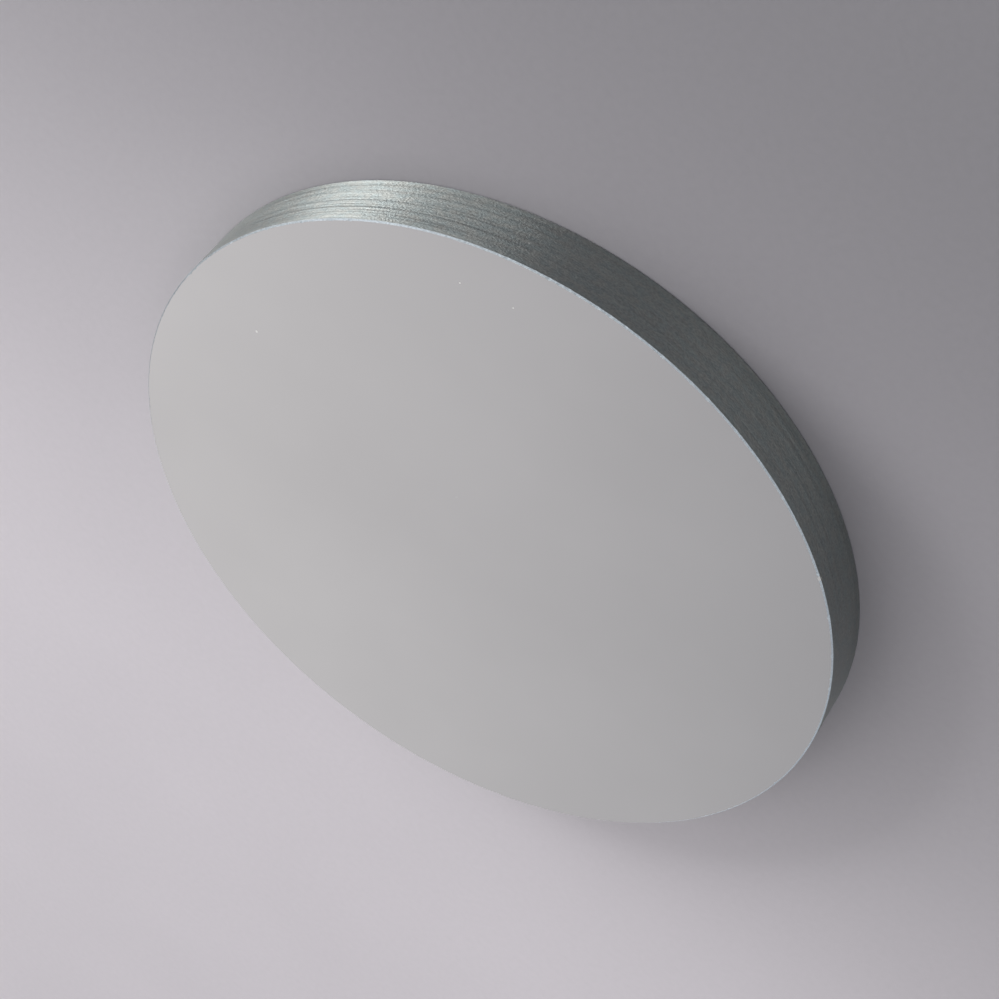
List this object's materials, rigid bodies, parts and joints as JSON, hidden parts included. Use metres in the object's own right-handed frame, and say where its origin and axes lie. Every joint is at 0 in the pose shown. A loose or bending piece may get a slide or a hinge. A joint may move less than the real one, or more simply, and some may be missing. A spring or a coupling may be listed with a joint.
{
  "type": "optical window",
  "caption": "Flat round window of polished infrared crystal, with a finely ground rim and small safety bevels.",
  "frame": {"origin": "centre of the back face, which the window lies on", "axes": "+Z along the optical axis, from the back face to the front face; the chip on the front edge is at -134.4 degrees from +X"},
  "size_m": [0.035, 0.035, 0.003],
  "materials": {
    "crystal": "polished"
  },
  "bodies": {
    "root": {"window": "crystal"}
  },
  "joints": []
}
